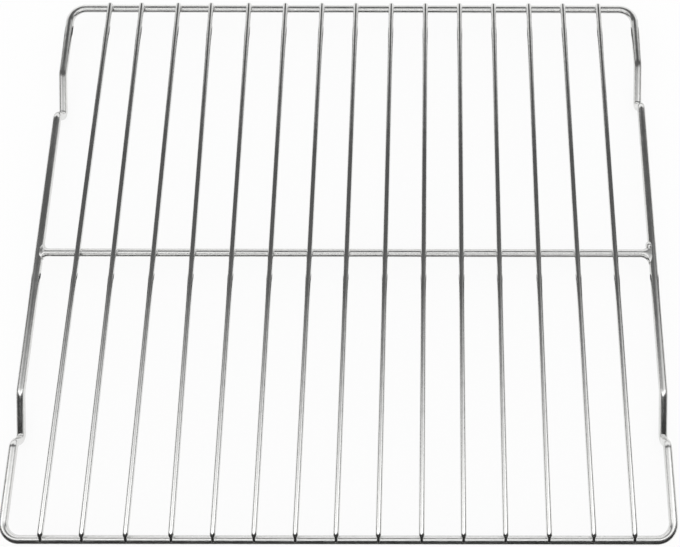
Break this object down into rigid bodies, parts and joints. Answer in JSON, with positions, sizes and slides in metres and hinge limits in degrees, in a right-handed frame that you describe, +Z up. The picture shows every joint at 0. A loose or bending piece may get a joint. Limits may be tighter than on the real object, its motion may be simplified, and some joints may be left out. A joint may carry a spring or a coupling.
{
  "type": "oven rack",
  "caption": "Flat wire rack that slides on an oven's side runners: a closed frame wire with stops bent into its sides, a crossbar, and straight rods welded over them to carry dishes.",
  "frame": {"origin": "on the surface that the four stops stand on, under the middle of the frame", "axes": "+X across the rack to the right, +Y from the front to the back, +Z up"},
  "size_m": [0.454, 0.414, 0.0192],
  "materials": {
    "frame_chrome": "bright plating on drawn steel wire",
    "rod_chrome": "bright plating on drawn steel rod"
  },
  "bodies": {
    "root": {"frame_wire": "frame_chrome", "crossbar": "frame_chrome", "rod_01": "rod_chrome", "rod_02": "rod_chrome", "rod_03": "rod_chrome", "rod_04": "rod_chrome", "rod_05": "rod_chrome", "rod_06": "rod_chrome", "rod_07": "rod_chrome", "rod_08": "rod_chrome", "rod_09": "rod_chrome", "rod_10": "rod_chrome", "rod_11": "rod_chrome", "rod_12": "rod_chrome", "rod_13": "rod_chrome", "rod_14": "rod_chrome", "rod_15": "rod_chrome"}
  },
  "joints": []
}
